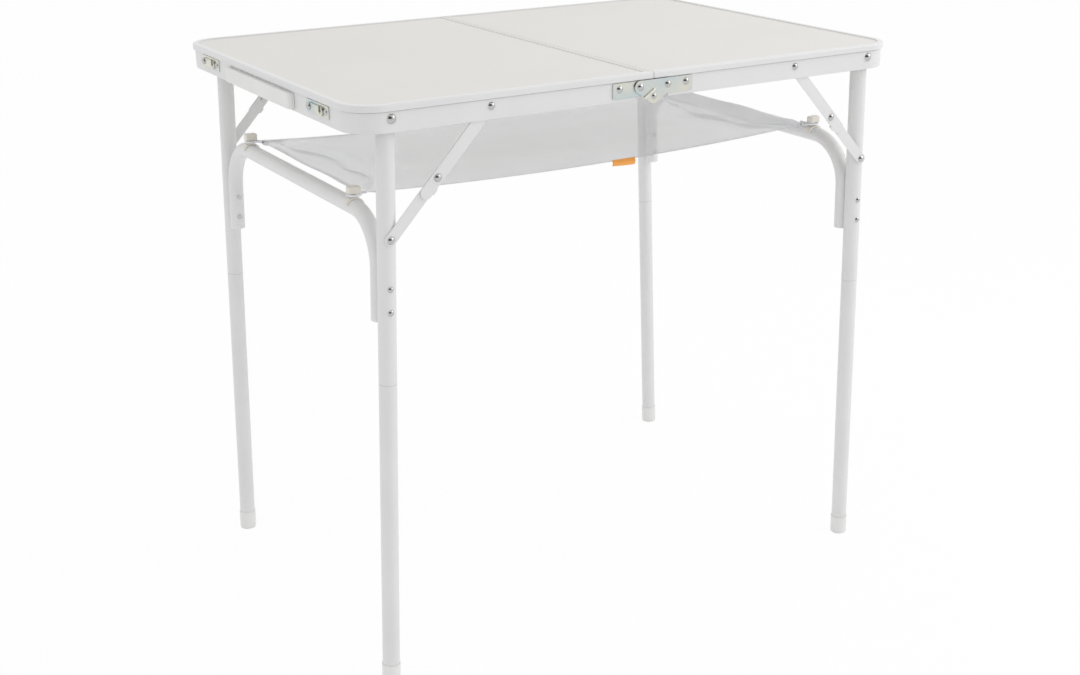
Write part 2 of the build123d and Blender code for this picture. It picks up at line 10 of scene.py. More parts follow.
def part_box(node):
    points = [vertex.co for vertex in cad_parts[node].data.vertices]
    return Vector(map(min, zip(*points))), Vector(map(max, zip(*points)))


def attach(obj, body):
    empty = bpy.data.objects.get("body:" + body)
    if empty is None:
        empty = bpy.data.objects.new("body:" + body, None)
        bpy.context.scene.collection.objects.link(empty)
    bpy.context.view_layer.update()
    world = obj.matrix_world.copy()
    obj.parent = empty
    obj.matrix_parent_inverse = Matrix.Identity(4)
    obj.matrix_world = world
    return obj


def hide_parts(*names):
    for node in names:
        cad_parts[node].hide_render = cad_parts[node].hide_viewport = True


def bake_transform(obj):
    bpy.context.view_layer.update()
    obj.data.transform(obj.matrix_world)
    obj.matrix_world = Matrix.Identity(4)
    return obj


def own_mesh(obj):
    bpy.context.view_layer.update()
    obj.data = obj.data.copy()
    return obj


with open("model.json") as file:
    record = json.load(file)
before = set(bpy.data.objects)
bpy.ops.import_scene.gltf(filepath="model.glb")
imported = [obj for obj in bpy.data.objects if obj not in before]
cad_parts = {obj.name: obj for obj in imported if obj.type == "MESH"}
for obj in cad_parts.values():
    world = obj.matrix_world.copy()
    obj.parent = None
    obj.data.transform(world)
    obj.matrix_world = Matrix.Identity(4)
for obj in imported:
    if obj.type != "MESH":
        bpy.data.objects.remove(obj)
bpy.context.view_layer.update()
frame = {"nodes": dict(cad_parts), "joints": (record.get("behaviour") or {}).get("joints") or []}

bl_info = {
    "name": "Folding camping table",
    "version": (1, 0, 0),
    "blender": (4, 5, 0),
    "location": "3D View > Sidebar > Table",
    "description": "Dresses the folding camping table: finishes, storage net and studio",
    "category": "Object",
}

PHOTO_WIDTH = 1080
PHOTO_HEIGHT = 675
SENSOR_WIDTH = 36.0

# Where the net hangs: the clips on a cross tube, the tag, and the top of the net's solid
CLIP_LOW, CLIP_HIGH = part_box("left_net_clips")
TAG_LOW, TAG_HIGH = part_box("net_tag")
CLIP_X = -(CLIP_LOW.x + CLIP_HIGH.x) / 2
NET_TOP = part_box("storage_net")[1].z

# Spans of a noise pattern that run from the first tone or value to the second
TONE_SPAN = (0.35, 0.65)
VALUE_SPAN = (0.3, 0.7)

# Painted shadow line at the top of a lower leg, darker powder coat in place of the shade in the
# joint: full tone up to the first distance, none after the second
PAINTED_SHADOW_FULL = 0.0006
PAINTED_SHADOW_END = 0.0014

# Facets of the brace rivets
CAP_RINGS = 8
CAP_SIDES = 32
TAIL_DISH = 0.9  # height half-way out, as a share of the tail's height

# Net cloth, in metres
CLOTH_DROP = 0.0006  # from the top of the net's solid to the cloth
HEM_DROP = 0.0007  # from the cloth to the hem under it
SIDE_BOW = 0.003  # how far a long edge bows in
CLOTH_STEP = 0.004  # mesh size
HEM_STEP = 0.003

# Slack folds at the net's ends, in metres
FOLD_INSET = 0.020  # from the end edge to the fold, at the long edges
FOLD_ARC = 0.042  # how much farther in the fold runs at the middle
FOLD_WANDER = 0.006
FOLD_DEPTH = 0.0080
FOLD_WIDTH = 0.006
RIDGE_GAP = 0.018  # from the fold to the ridge behind it
RIDGE_HEIGHT = 0.0045
RIDGE_WIDTH = 0.010
PULL_HEIGHT = 0.0016  # lines that fan out from the loops
PULL_FADE = 0.09
PULL_PAST_END = 0.02  # from the end edge out to where the lines meet
PULL_PAST_SIDE = 0.004  # from the long edge out to where the lines meet
WAVE_HEIGHT = 0.0011

# How fast the folds' sines run, in radians
WANDER_ACROSS = 9  # per half width
WANDER_ALONG = 4  # per metre
WAVE_ACROSS = 38  # per metre
WAVE_ALONG = 6  # per metre
PULL_LINES = 13  # per radian about the point where the lines meet

# Corner loops, in metres
LOOP_GAP = 0.0003  # air between cord and clip
LOOP_TAIL = 0.007  # cord sewn into the hem
LOOP_INSET = 0.003  # from the edge to the sewn cord
LOOP_EASE = 0.002  # how far the cord swings out where it leaves the hem
NECK_SHIFT = 0.00056  # the leaning neck's middle, inward of the clip's middle

# Course of the cord round the clip's neck, along and across the table, in ring radii
NECK_COURSE = ((-0.4, -1.5), (1.15, -1.3), (1.35, 0.5), (0.2, 1.35), (-1.6, 0.75))

# Tag, in metres
TAG_TUCK = 0.0005  # how far it starts above the tag's solid
TAG_SHORT = 0.001  # how much shorter it is than the tag's solid
TAG_STAND = 0.0006  # how far it stands off the net's edge
TAG_BULGE = 0.0022
TAG_CURL = 0.0012
TAG_SLANT = 0.0012  # how much lower one corner hangs than the other
TAG_THICKNESS = 0.0009
TAG_TAPER = 0.05  # share of its width lost at its lower edge
CURL_TURN = 2.6  # radians across the tag's width
CURL_START = 1.0  # radians at the tag's middle

# Studio
PAPER_WHITE = 0.92  # share of plain white in the paper as it is seen
FLOOR_REACH = 40
PATCH_RISE = 0.25  # slope from the table up to the dim patch behind the camera
PATCH_CORE = 0.92  # cosine at which the patch is at its darkest
SOFT_EDGE = 0.30  # cosine at which the patch starts, in the light on matt finishes
SOFT_DIM = 0.80  # share of that light left in the patch
MIRROR_EDGE = 0.62  # cosine at which the patch starts, as bright metal mirrors it
MIRROR_DIM = 0.06  # strength of the mirrored patch
LAMP_SIZE = 1.4
LAMP_PLACE = (1.5, -1.1, 1.7)
LAMP_AIM = (0, 0, 0.5)


def linear(code):
    """Turn an sRGB hex colour into Blender's linear red, green, blue."""
    shares = [int(code[i : i + 2], 16) / 255 for i in (1, 3, 5)]
    return tuple(s / 12.92 if s <= 0.04045 else ((s + 0.055) / 1.055) ** 2.4 for s in shares)


def colour(name, code, description):
    return FloatVectorProperty(
        name=name, description=description, subtype="COLOR",
        size=3, min=0, max=1, default=linear(code),
    )


def length(name, metres, description):
    return FloatProperty(name=name, description=description, unit="LENGTH", default=metres)


def angle(name, degrees, description):
    return FloatProperty(
        name=name, description=description, subtype="ANGLE", default=radians(degrees)
    )


def pixels(name, count, description):
    return FloatProperty(name=name, description=description, subtype="PIXEL", default=count)


class TableFinishes(bpy.types.PropertyGroup):
    """Colours of the table's finishes."""

    laminate: colour("Laminate", "#DFDDD8", "Warm pale grey of the top panels")
    powder: colour("Powder coat", "#E3E3E3", "White of the rails, legs and braces")
    plastic: colour("White plastic", "#E9E9E8", "Handle, feet and tube caps")
    clip: colour("Clip plastic", "#E8E4DA", "Cream of the net clips")
    zinc_warm: colour("Zinc, warm", "#DEDACD", "Straw cast of the plated hinge steel")
    zinc_cool: colour("Zinc, cool", "#C7D1D2", "Blue cast of the plated hinge steel")
    wire: colour("Lock wire", "#F4F1E6", "Bright zinc of the lock wires")
    rivet: colour("Rivet", "#C2C2C1", "Nickel of the domed rivet heads")
    net: colour("Net", "#EFF0F4", "Cool white of the storage net")
    tag: colour("Tag", "#FDAD52", "Orange of the woven tag")


class NetSizes(bpy.types.PropertyGroup):
    """Sizes of the storage net."""

    left_length: length("Left length", CLIP_X - 0.009, "Middle of the table to the left end edge")
    right_length: length("Right length", CLIP_X - 0.007, "Middle of the table to the right end edge")
    half_width: length("Half width", CLIP_HIGH.y - 0.0085, "Middle of the net to its long edge")
    corner_x: length("Corner cut, along", 0.004, "Length of the cut corner on the long edge")
    corner_y: length("Corner cut, across", 0.006, "Length of the cut corner on the end edge")
    left_bow: length("Left bow", 0.005, "How far the left end edge bows in between its loops")
    right_bow: length("Right bow", 0.001, "How far the right end edge bows in between its loops")
    sag: length("Edge sag", 0.010, "How far the long edges hang below their ends")
    belly: length("Belly", 0.006, "How far the middle hangs below the long edges")
    split: length("Split", 0.170, "Where the part that crumples meets the part that bends")
    hem: length("Hem", 0.007, "Width of the sewn hem")
    cord: length("Loop cord", 0.0030, "Diameter of the elastic cord of the corner loops")
    lift: length("Fold lift", 0.007, "How far a folded cross tube lifts the end edge")
    clip_y: length("Clip place", CLIP_HIGH.y - 0.0055, "Middle of the table to a clip's middle")
    neck: length("Clip neck", 0.0075, "Diameter of the clip's neck")


class BraceRivetSizes(bpy.types.PropertyGroup):
    """Sizes of the braces' middle rivets."""

    offset: length("Offset", 0.00645, "From the middle of the brace to the rivet, towards the leg")
    head: length("Head", 0.0096, "Diameter of the dome")
    dome: length("Dome", 0.0029, "Height of the dome")
    tail: length("Tail", 0.0076, "Diameter of the flat tail")
    tail_height: length("Tail height", 0.0012, "Height of the flat tail")
    film: length("Plating", 0.00005, "How far the plating stands off the steel")


class StudioSettings(bpy.types.PropertyGroup):
    """Camera and light."""

    place: FloatVectorProperty(
        name="Camera place", description="Where the camera stands", subtype="TRANSLATION",
        unit="LENGTH", size=3, default=(-1.04742, -1.72699, 1.07207),
    )
    azimuth: angle("Azimuth", 31.99, "Turn of the view from straight on")
    elevation: angle("Elevation", 22.87, "How far the view looks down")
    roll: angle("Roll", -0.255, "Tilt of the picture")
    focal: pixels("Focal length", 1465.31, "Focal length in picture pixels")
    centre_x: pixels("Axis across", 558.32, "Optical axis in picture pixels")
    centre_y: pixels("Axis down", 397.15, "Optical axis in picture pixels")
    floor: colour("Floor", "#FAFAFA", "Paper under the table")
    sky: FloatProperty(name="Sky", description="Strength of the light all round", default=0.95)
    key: FloatProperty(name="Key", description="Power of the large lamp in watts", default=9.0)


class TableSettings(bpy.types.PropertyGroup):
    """All settings of the table."""

    finishes: PointerProperty(type=TableFinishes)
    rivets: PointerProperty(type=BraceRivetSizes)
    net: PointerProperty(type=NetSizes)
    studio: PointerProperty(type=StudioSettings)


def settings():
    return bpy.context.scene.camping_table


def joint_named(name):
    return next(j for j in frame["joints"] if j["name"] == name)


def per_metre(millimetres):
    """Pattern scale that gives features of a real size."""
    return 1000 / millimetres


def add(tree, kind, inputs=None, **properties):
    """Add a node, set its properties, and fill or link its sockets."""
    made = tree.nodes.new(kind)
    for name, value in properties.items():
        setattr(made, name, value)
    for socket, value in (inputs or {}).items():
        if isinstance(value, bpy.types.NodeSocket):
            tree.links.new(value, made.inputs[socket])
        else:
            made.inputs[socket].default_value = value
    return made


def new_material(name):
    """An empty material, its tree and its Object coordinates."""
    material = bpy.data.materials.new(name)
    material.use_nodes = True
    tree = material.node_tree
    tree.nodes.clear()
    place = add(tree, "ShaderNodeTexCoord").outputs["Object"]
    return material, tree, place


def shade(share, tint):
    """Opaque colour at a share of its full tone."""
    return tuple(share * c for c in tint) + (1.0,)


def surface(tree, inputs):
    """Principled shader to the material's output."""
    shader = add(tree, "ShaderNodeBsdfPrincipled", inputs)
    add(tree, "ShaderNodeOutputMaterial", {"Surface": shader.outputs["BSDF"]})


def grain(tree, place, millimetres, detail=2.0):
    """Noise with features of a real size."""
    return add(tree, "ShaderNodeTexNoise", {
        "Vector": place, "Scale": per_metre(millimetres), "Detail": detail,
    }).outputs["Fac"]


def mapped(tree, value, start, end, low=0.0, high=1.0, **properties):
    """Move a value from the range start to end into the range low to high."""
    return add(tree, "ShaderNodeMapRange", {
        "Value": value, "From Min": start, "From Max": end, "To Min": low, "To Max": high,
    }, **properties).outputs["Result"]


def mixed(tree, factor, low, high):
    """Colour between two others, through the Mix node's colour sockets."""
    return add(
        tree, "ShaderNodeMix", {"Factor": factor, 6: low, 7: high}, data_type="RGBA"
    ).outputs[2]


def mixed_value(tree, factor, low, high):
    """Value between two others, through the Mix node's value sockets."""
    return add(
        tree, "ShaderNodeMix", {"Factor": factor, 2: low, 3: high}, data_type="FLOAT"
    ).outputs[0]


def larger(tree, first, second):
    return add(tree, "ShaderNodeMath", {0: first, 1: second}, operation="MAXIMUM").outputs[0]


def along_axis(tree, place, axis):
    """How far a place lies along an axis."""
    return add(
        tree, "ShaderNodeVectorMath", {0: place, 1: axis}, operation="DOT_PRODUCT"
    ).outputs["Value"]


def two_tone(tree, factor, low, high):
    """Colour that wanders between two tones."""
    return mixed(tree, mapped(tree, factor, *TONE_SPAN), low, high)


def ranged(tree, factor, low, high):
    """Value that wanders between two limits."""
    return mapped(tree, factor, *VALUE_SPAN, low, high)


def raised(tree, height, millimetres, strength):
    """Relief of a real depth."""
    return add(tree, "ShaderNodeBump", {
        "Height": height, "Distance": millimetres / 1000, "Strength": strength,
    }).outputs["Normal"]


def powder_coat(name, tint, axis=None, start=0.0):
    """Powder coat on aluminium: satin white with a fine orange peel that softens every highlight.

    With an axis, a painted shadow line darkens the colour where the tube starts along it, alike at
    both ends of the table, and the spigot before the line gets the same painted shade.
    """
    material, tree, place = new_material(name)
    peel = grain(tree, place, 1.4)
    drift = grain(tree, place, 90, 3)
    base = two_tone(tree, drift, shade(0.965, tint), shade(1.0, tint))
    if axis:
        mirrored = add(tree, "ShaderNodeVectorMath", {0: place}, operation="ABSOLUTE")
        along = along_axis(tree, mirrored.outputs["Vector"], axis)
        # Painted shadow: the coat is darkened to 80 % at the line where the lower tube starts, and
        # on the spigot before it
        line = mapped(tree, along, start + PAINTED_SHADOW_FULL, start + PAINTED_SHADOW_END, 1.0, 0.0)
        base = mixed(tree, line, base, shade(0.80, tint))
    surface(tree, {
        "Base Color": base,
        "Roughness": ranged(tree, drift, 0.36, 0.46),
        "Normal": raised(tree, peel, 0.10, 0.22),
        "IOR": 1.5,
        "Coat Weight": 0.08,
        "Coat Roughness": 0.3,
    })
    return material


def laminate(tint):
    """Melamine laminate: matt warm grey, with a faint printed speckle and a fine pebble grain."""
    material, tree, place = new_material("melamine_laminate")
    speck = grain(tree, place, 1.6, 4)
    cloud = grain(tree, place, 140)
    base = two_tone(tree, cloud, shade(0.985, tint), shade(1.0, tint))
    # Only the peaks of the noise are printed, and thinly
    dots = mapped(tree, speck, 0.58, 0.72, high=0.35)
    surface(tree, {
        "Base Color": mixed(tree, dots, base, shade(0.86, tint)),
        "Roughness": ranged(tree, speck, 0.42, 0.54),
        "Normal": raised(tree, grain(tree, place, 0.9), 0.06, 0.25),
        "IOR": 1.5,
    })
    return material


def zinc_plate(warm, cool):
    """Zinc-plated sheet steel: rolled lines along the strip, and a film from straw to blue."""
    material, tree, place = new_material("zinc_plated_steel")
    stretched = add(tree, "ShaderNodeMapping", {"Vector": place, "Scale": (0.06, 1.0, 1.0)})
    lines = grain(tree, stretched.outputs["Vector"], 0.5, 3)
    film = grain(tree, place, 38)
    surface(tree, {
        "Base Color": two_tone(tree, film, shade(1.0, warm), shade(1.0, cool)),
        "Metallic": 1.0,
        "Roughness": ranged(tree, lines, 0.24, 0.40),
        "Normal": raised(tree, lines, 0.05, 0.2),
    })
    return material


def nickel(tint):
    """Nickel-plated rivet heads: bright, nearly mirror, with small handling marks."""
    material, tree, place = new_material("nickel_plated_rivets")
    marks = grain(tree, place, 1.1, 3)
    surface(tree, {
        "Base Color": two_tone(tree, marks, shade(0.9, tint), shade(1.0, tint)),
        "Metallic": 1.0,
        "Roughness": ranged(tree, marks, 0.10, 0.20),
    })
    return material


def moulded(name, tint, grit, rough):
    """Injection-moulded plastic: satin, with the spark-eroded grain of its mould."""
    material, tree, place = new_material(name)
    erosion = grain(tree, place, grit, 3)
    flow = grain(tree, place, 45)
    surface(tree, {
        "Base Color": two_tone(tree, flow, shade(0.965, tint), shade(1.0, tint)),
        "Roughness": ranged(tree, erosion, rough - 0.06, rough + 0.06),
        "Normal": raised(tree, erosion, 0.08, 0.25),
        "IOR": 1.49,
        "Subsurface Weight": 0.05,
        "Subsurface Radius": (0.002, 0.002, 0.002),
    })
    return material


def threads(tree, place, pitch):
    """Height of a plain weave: round threads both ways, open between them."""
    parts = add(tree, "ShaderNodeSeparateXYZ", {"Vector": place}).outputs
    turn = 2 * pi * per_metre(pitch)
    rows = []
    for axis in ("X", "Y"):
        turns = add(tree, "ShaderNodeMath", {0: parts[axis], 1: turn}, operation="MULTIPLY")
        rows.append(add(tree, "ShaderNodeMath", {0: turns.outputs[0]}, operation="SINE").outputs[0])
    return larger(tree, *rows)


def woven(name, tint, pitch, open_alpha=1.0, thread_alpha=1.0):
    """Woven polyester: soft sheen, thread relief, and light through the gaps of an open weave."""
    material, tree, place = new_material(name)
    weave = threads(tree, place, pitch)
    wander = grain(tree, place, 60, 3)
    inputs = {
        "Base Color": two_tone(tree, wander, shade(0.95, tint), shade(1.0, tint)),
        "Roughness": 0.72,
        "Normal": raised(tree, weave, 0.12, 0.3),
        "Sheen Weight": 0.25,
        "Sheen Roughness": 0.4,
    }
    # From the gaps up to the crowns of the threads
    if open_alpha < 1:
        inputs["Alpha"] = mapped(tree, weave, -0.2, 0.6, open_alpha, thread_alpha)
    surface(tree, inputs)
    return material


def dress(material, *names):
    """Give a finish to the solids whose names end in one of these words."""
    found = [o for n, o in frame["nodes"].items() if n.endswith(names)]
    if not found:
        raise RuntimeError(f"no piece is named {names}")
    for piece in found:
        if not piece.material_slots:
            piece.data.materials.append(material)
        for slot in piece.material_slots:
            slot.material = material


def finished(part, name, material):
    """Turn a bmesh into a smooth object at the origin with its finish."""
    mesh = bpy.data.meshes.new(name)
    part.to_mesh(mesh)
    part.free()
    mesh.materials.append(material)
    for face in mesh.polygons:
        face.use_smooth = True
    piece = bpy.data.objects.new(name, mesh)
    bpy.context.scene.collection.objects.link(piece)
    return piece


def net_end(x):
    """From the middle of the table to the end edge on the same side."""
    net = settings().net
    return net.left_length if x < 0 else net.right_length


def net_height(x, y):
    """Height of the hanging net: edge sag, belly, and the slack folds between its corner loops."""
    net = settings().net
    along = abs(x) / net_end(x)
    across = abs(y) / net.half_width
    height = NET_TOP - CLOTH_DROP - net.sag * (1 - along**2)
    height -= net.belly * (1 - across**2) * (1 - along**4)
    # A slack fold runs from corner loop to corner loop in an arc, with a ridge behind it
    inset = net_end(x) - abs(x)
    wander = FOLD_WANDER * sin(WANDER_ACROSS * y / net.half_width + WANDER_ALONG * x)
    fold = FOLD_INSET + FOLD_ARC * (1 - across**2) + wander
    slack = 1 - across**6
    height -= FOLD_DEPTH * exp(-(((inset - fold) / FOLD_WIDTH) ** 2)) * slack
    height += RIDGE_HEIGHT * exp(-(((inset - fold - RIDGE_GAP) / RIDGE_WIDTH) ** 2)) * slack
    # Pull lines fan out from the corner loops
    dx = inset + PULL_PAST_END
    dy = net.half_width - abs(y) + PULL_PAST_SIDE
    height += PULL_HEIGHT * sin(PULL_LINES * atan2(dy, dx)) * exp(-hypot(dx, dy) / PULL_FADE)
    # Soft lengthwise waves of cloth that is not quite taut
    height += WAVE_HEIGHT * sin(WAVE_ACROSS * y + WAVE_ALONG * x) * slack
    return height


def net_edge(x):
    """The long edge bows in a little between the loops."""
    return settings().net.half_width - SIDE_BOW * (1 - (x / net_end(x)) ** 2)


def drape(part, lift=0.0):
    """Lay flat net mesh on the hanging shape. Flat y runs from edge to edge."""
    net = settings().net
    for point in part.verts:
        x = point.co.x
        y = point.co.y / net.half_width * net_edge(x)
        # The end edge bows in as well
        bow = -net.left_bow if x < 0 else net.right_bow
        x -= bow * (1 - (y / net.half_width) ** 2) * (abs(x) / net_end(x)) ** 8
        point.co = Vector((x, y, point.co.z + net_height(x, y) + lift))


def flat_strip(x_low, x_high, y_low, y_high, step):
    """Flat grid between two corners."""
    part = bmesh.new()
    wide, deep = x_high - x_low, y_high - y_low
    bmesh.ops.create_grid(
        part,
        x_segments=max(1, round(wide / step)),
        y_segments=max(1, round(deep / step)),
        size=0.5,
    )
    bmesh.ops.scale(part, vec=(wide, deep, 1), verts=part.verts)
    middle = ((x_low + x_high) / 2, (y_low + y_high) / 2, 0)
    bmesh.ops.translate(part, vec=middle, verts=part.verts)
    return part


def cut_corners(part):
    """Take the four corners off the flat net."""
    net = settings().net
    for sign_x in (-1, 1):
        for sign_y in (-1, 1):
            start = net_end(sign_x) - net.corner_x
            bmesh.ops.bisect_plane(
                part,
                geom=part.verts[:] + part.edges[:] + part.faces[:],
                plane_co=(sign_x * start, sign_y * net.half_width, 0),
                plane_no=(sign_x * net.corner_y, sign_y * net.corner_x, 0),
                clear_outer=True,
            )


def follow(piece, side, end):
    """End parts ride on the table half on their side, each with a mesh of its own; middle parts have
    their place baked into the mesh.
    """
    net = settings().net
    sign = -1 if side == "left" else 1
    if end:
        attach(piece, f"{side}_half")
        # A point at the split on the hanging net, which nothing uses
        anchor = Vector((sign * net.split, 0, net_height(net.split, 0)))
        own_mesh(piece)
    else:
        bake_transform(piece)


class TABLE_OT_finish_top(bpy.types.Operator):
    """Laminate on the panels and their seam edging, powder coat on rails, legs and braces"""

    bl_idname = "camping_table.finish_top"
    bl_label = "Finish the top"

    def execute(self, context):
        look = settings().finishes
        dress(laminate(look.laminate), "top_panel", "seam_edging")
        coat = powder_coat("powder_coated_aluminium", look.powder)
        dress(coat, "edge_rail", "upper_leg", "cross_tube", "link", "pivot_spacers")
        # The lower legs' powder coat carries a painted shadow line where the tube leaves the upper
        # leg
        axis = Vector(joint_named("right_front_leg_pull")["axis"])
        upper_leg = frame["nodes"]["right_front_upper_leg"].data
        start = max(v.co.dot(axis) for v in upper_leg.vertices)
        painted_shadow_coat = powder_coat("powder_coated_lower_legs_painted_shadow", look.powder, tuple(axis), start)
        dress(painted_shadow_coat, "lower_leg")
        return {"FINISHED"}


class TABLE_OT_finish_fittings(bpy.types.Operator):
    """Zinc on hinges and latches, nickel on rivets, moulded plastic on the other fittings"""

    bl_idname = "camping_table.finish_fittings"
    bl_label = "Finish the fittings"

    def execute(self, context):
        look = settings().finishes
        zinc = zinc_plate(look.zinc_warm, look.zinc_cool)
        dress(zinc, "hinge_plates", "hinge_links", "latch_plates", "latch_hook", "catch_studs")
        dress(zinc_plate(look.wire, look.wire), "lock_wires")
        dress(nickel(look.rivet), "rivets", "bolts", "latch_pins")
        white = moulded("moulded_white_plastic", look.plastic, grit=0.8, rough=0.46)
        dress(white, "carry_handle", "foot", "tube_caps")
        dress(moulded("moulded_cream_nylon", look.clip, grit=0.7, rough=0.40), "net_clips")
        return {"FINISHED"}


class TABLE_OT_set_brace_rivets(bpy.types.Operator):
    """Plated faces on the middle rivet of each brace: a dome outside, a flat tail inside"""

    bl_idname = "camping_table.set_brace_rivets"
    bl_label = "Set the brace rivets"

    def execute(self, context):
        sizes = settings().rivets
        plated = bpy.data.materials.get("nickel_plated_rivets") or nickel(settings().finishes.rivet)
        for side in ("left", "right"):
            rail = sum(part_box(f"{side}_brace_rail_rivets"), Vector()) / 2
            leg = sum(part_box(f"{side}_brace_leg_rivets"), Vector()) / 2
            run = leg - rail
            middle = rail + run * (0.5 + sizes.offset / run.length)
            for place, outward in (("front", -1), ("back", 1)):
                outer = 0 if outward < 0 else 1
                head_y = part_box(f"{side}_{place}_upper_link")[outer].y
                tail_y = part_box(f"{side}_{place}_lower_link")[1 - outer].y
                head_y += outward * (sizes.film - sizes.dome)
                tail_y -= outward * (sizes.film - sizes.tail_height)
                head = self.cap(sizes.head / 2, sizes.dome, True)
                self.stand(head, (middle.x, head_y, middle.z), outward)
                tail = self.cap(sizes.tail / 2, sizes.tail_height, False)
                self.stand(tail, (middle.x, tail_y, middle.z), -outward)
                dome = finished(head, f"{side}_{place}_brace_head", plated)
                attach(dome, f"{side}_upper_links")
                disc = finished(tail, f"{side}_{place}_brace_tail", plated)
                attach(disc, f"{side}_lower_links")
        return {"FINISHED"}

    def cap(self, radius, height, domed):
        """Shell turned about z: a spherical cap, or a flat tail with an eased edge."""
        part = bmesh.new()
        if domed:
            ball = (radius**2 + height**2) / (2 * height)
            steps = [radius * (1 - i / CAP_RINGS) for i in range(CAP_RINGS + 1)]
            line = [(r, (ball**2 - r**2) ** 0.5 - ball + height) for r in steps]
        else:
            ease = height / 3
            wall = [(radius, 0), (radius, height - ease), (radius - ease, height)]
            line = [*wall, (radius / 2, height * TAIL_DISH), (0, height)]
        points = [part.verts.new((r, 0, z)) for r, z in line]
        rows = [part.edges.new(pair) for pair in zip(points, points[1:])]
        bmesh.ops.spin(
            part, geom=points + rows, cent=(0, 0, 0), axis=(0, 0, 1),
            angle=2 * pi, steps=CAP_SIDES, use_merge=True,
        )
        bmesh.ops.remove_doubles(part, verts=part.verts, dist=1e-6)
        bmesh.ops.holes_fill(part, edges=[e for e in part.edges if e.is_boundary], sides=0)
        bmesh.ops.recalc_face_normals(part, faces=part.faces)
        return part

    def stand(self, part, place, outward):
        """Turn a cap so that it points along y, and put it in its place."""
        turn = Matrix.Rotation(radians(90) * (1 if outward < 0 else -1), 4, "X")
        bmesh.ops.transform(part, matrix=Matrix.Translation(place) @ turn, verts=part.verts)


class TABLE_OT_hang_net(bpy.types.Operator):
    """Net cloth in four parts, its sewn hems and the elastic loops round the clips"""

    bl_idname = "camping_table.hang_net"
    bl_label = "Hang the net"

    def execute(self, context):
        net = settings().net
        tint = settings().finishes.net
        cloth = woven("woven_net_cloth", tint, pitch=1.0, open_alpha=0.33, thread_alpha=0.84)
        folded = woven("woven_net_hem", tint, pitch=1.0, open_alpha=0.45, thread_alpha=0.80)
        elastic = woven("braided_elastic", tint, pitch=0.8)
        spans = {
            "left_end": (-net.left_length, -net.split),
            "left_middle": (-net.split, 0.0),
            "right_middle": (0.0, net.split),
            "right_end": (net.split, net.right_length),
        }
        for place, (x_low, x_high) in spans.items():
            side, part_name = place.split("_")
            sheet = flat_strip(x_low, x_high, -net.half_width, net.half_width, CLOTH_STEP)
            cut_corners(sheet)
            drape(sheet)
            piece = finished(sheet, f"net_{place}", cloth)
            trims = [self.hem(place, x_low, x_high, folded)]
            if place == "left_end":
                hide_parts("storage_net")
            for moved in [piece, *trims]:
                follow(moved, side, part_name == "end")
            if part_name == "end":
                loops = self.loops(place, side, elastic)
                trims.append(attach(loops, f"{side}_leg_frame"))
        return {"FINISHED"}

    def hem(self, place, x_low, x_high, material):
        """Folded edges: a strip on each long edge, and one across the end."""
        net = settings().net
        edge, inner = net.half_width, net.half_width - net.hem
        runs = [(x_low, x_high, -edge, -inner), (x_low, x_high, inner, edge)]
        if place == "left_end":
            runs.append((x_low, x_low + net.hem, -edge, edge))
        elif place == "right_end":
            runs.append((x_high - net.hem, x_high, -edge, edge))
        rows = bmesh.new()
        for run in runs:
            strip = flat_strip(*run, HEM_STEP)
            cut_corners(strip)
            spare = bpy.data.meshes.new("hem_run")
            strip.to_mesh(spare)
            strip.free()
            rows.from_mesh(spare)
            bpy.data.meshes.remove(spare)
        drape(rows, lift=-HEM_DROP)
        bmesh.ops.recalc_face_normals(rows, faces=rows.faces)
        return finished(rows, f"net_hem_{place}", material)

    def loops(self, place, side, material):
        """Elastic cord that leaves the end hem, goes round the clip's neck, enters the long hem."""
        net = settings().net
        sign = -1 if side == "left" else 1
        reach = net_end(sign)
        curve = bpy.data.curves.new("corner_loops", "CURVE")
        curve.dimensions = "3D"
        curve.bevel_depth = net.cord / 2
        curve.bevel_resolution = 4
        curve.resolution_u = 8
        route = self.route(reach)
        for across in (-1, 1):
            spline = curve.splines.new("NURBS")
            spline.points.add(len(route) - 1)
            for point, (x, y) in zip(spline.points, route):
                on_net = x < reach and y < net.half_width
                z = net_height(sign * x, y) if on_net else NET_TOP - LOOP_GAP
                point.co = (sign * x, across * y, z, 1)
            spline.order_u = 3
            spline.use_endpoint_u = True
        holder = bpy.data.objects.new("corner_loops", curve)
        bpy.context.scene.collection.objects.link(holder)
        shown = holder.evaluated_get(bpy.context.evaluated_depsgraph_get())
        tube = bpy.data.meshes.new_from_object(shown)
        bpy.data.objects.remove(holder)
        part = bmesh.new()
        part.from_mesh(tube)
        bpy.data.meshes.remove(tube)
        return finished(part, f"net_loops_{place}", material)

    def route(self, reach):
        """Course of one loop in plan, for the right-hand back corner."""
        net = settings().net
        ring = (net.neck + net.cord) / 2 + LOOP_GAP
        neck_x, neck_y = CLIP_X - NECK_SHIFT, net.clip_y
        end_y = net.half_width - net.corner_y
        side_x = reach - net.corner_x
        sewn_y = net.half_width - LOOP_INSET
        return [
            (reach - LOOP_INSET, end_y - LOOP_TAIL),
            (reach - LOOP_EASE, end_y - LOOP_INSET),
            (reach + LOOP_EASE, end_y + 2 * LOOP_EASE),
            *((neck_x + along * ring, neck_y + across * ring) for along, across in NECK_COURSE),
            (side_x + 2 * LOOP_EASE, net.half_width - LOOP_EASE / 2),
            (side_x - LOOP_INSET, sewn_y),
            (side_x - LOOP_TAIL, sewn_y),
        ]


